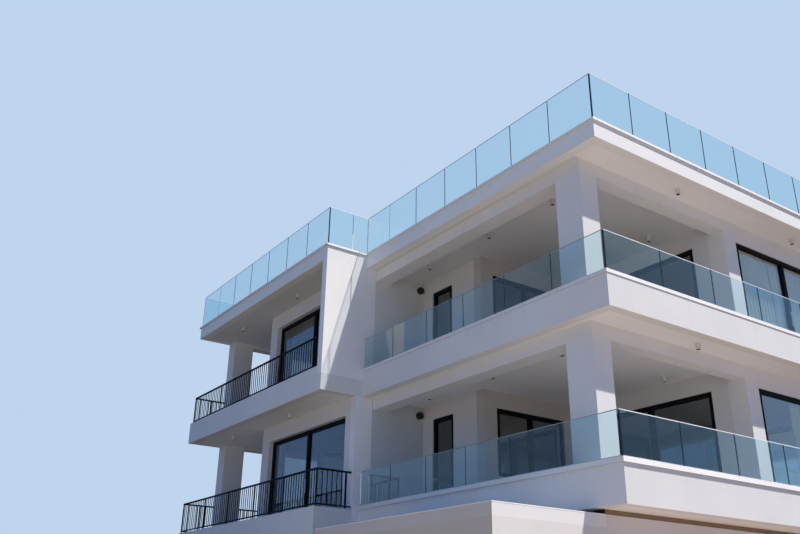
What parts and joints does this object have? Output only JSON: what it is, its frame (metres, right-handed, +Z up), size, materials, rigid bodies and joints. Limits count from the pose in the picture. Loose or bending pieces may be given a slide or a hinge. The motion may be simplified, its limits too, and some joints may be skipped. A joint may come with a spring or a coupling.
{
  "type": "apartment_block",
  "caption": "Modern white apartment block with corner loggias, glass balustrades, dark railed wing balconies and a glass-guarded roof terrace",
  "frame": {"origin": "centre of the footprint on the ground", "axes": "+X along the sunlit front to the right, +Y from the front to the back, +Z up"},
  "size_m": [17.616, 15.33, 11.035],
  "materials": {
    "render": "matt",
    "floor": "matt",
    "frame": "satin",
    "railing": "satin",
    "window_glass": "gloss",
    "guard_glass": "gloss",
    "lamp": "satin"
  },
  "bodies": {
    "root": {"ground_slab": "floor", "ground_front_wall": "render", "ground_side_walls": "render", "ground_back_walls": "render", "side_block_roofs": "render", "first_slab": "render", "first_edge_band": "render", "first_coping": "render", "second_slab": "render", "second_edge_band": "render", "second_coping": "render", "roof_slab": "render", "roof_edge_band": "render", "roof_coping": "render", "front_corner_columns": "render", "back_corner_columns": "render", "front_beams": "render", "side_beams": "render", "back_beams": "render", "front_walls": "render", "loggia_side_walls": "render", "loggia_back_walls": "render", "balcony_walls": "render", "wing_cross_walls": "render", "wing_walls": "render", "terrace_walls": "render", "back_walls": "render", "ground_window_frames": "frame", "ground_window_glass": "window_glass", "first_window_frames": "frame", "first_window_glass": "window_glass", "second_window_frames": "frame", "second_window_glass": "window_glass", "first_glass_guards": "guard_glass", "second_glass_guards": "guard_glass", "roof_glass_guards": "guard_glass", "first_wing_railings": "railing", "second_wing_railings": "railing", "wall_lamps": "lamp", "ceiling_spots": "lamp"}
  },
  "joints": []
}
